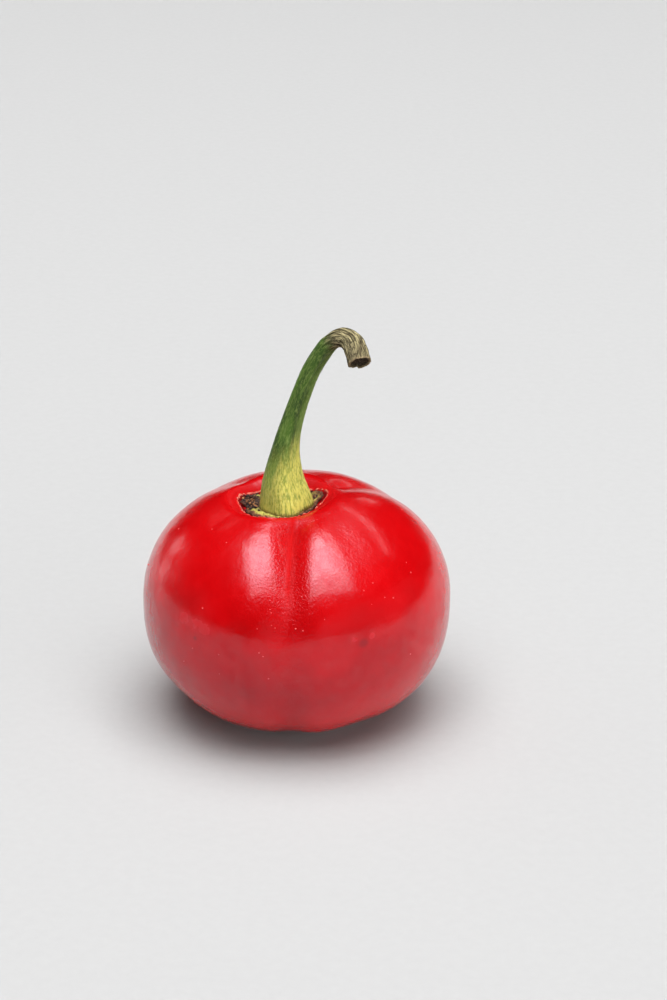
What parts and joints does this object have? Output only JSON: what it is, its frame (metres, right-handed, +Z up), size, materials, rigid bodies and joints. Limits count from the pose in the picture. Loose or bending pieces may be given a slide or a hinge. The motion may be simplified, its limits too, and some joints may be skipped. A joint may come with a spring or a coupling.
{
  "type": "cherry chilli pepper",
  "caption": "Round, lobed, glossy red chilli pepper as picked, with its corky calyx and curved green stalk, standing on its blossom end.",
  "frame": {"origin": "on the surface that the pepper stands on, under the middle of the pod", "axes": "+Z up, from the blossom end towards the stalk; +X to the right of the best side, the way the stalk leans; +Y away from the best side"},
  "size_m": [0.0446, 0.0441, 0.0597],
  "materials": {
    "pod": "gloss",
    "calyx": "matte",
    "stalk": "satin"
  },
  "bodies": {
    "root": {"pod": "pod", "calyx": "calyx", "stalk": "stalk"}
  },
  "joints": []
}
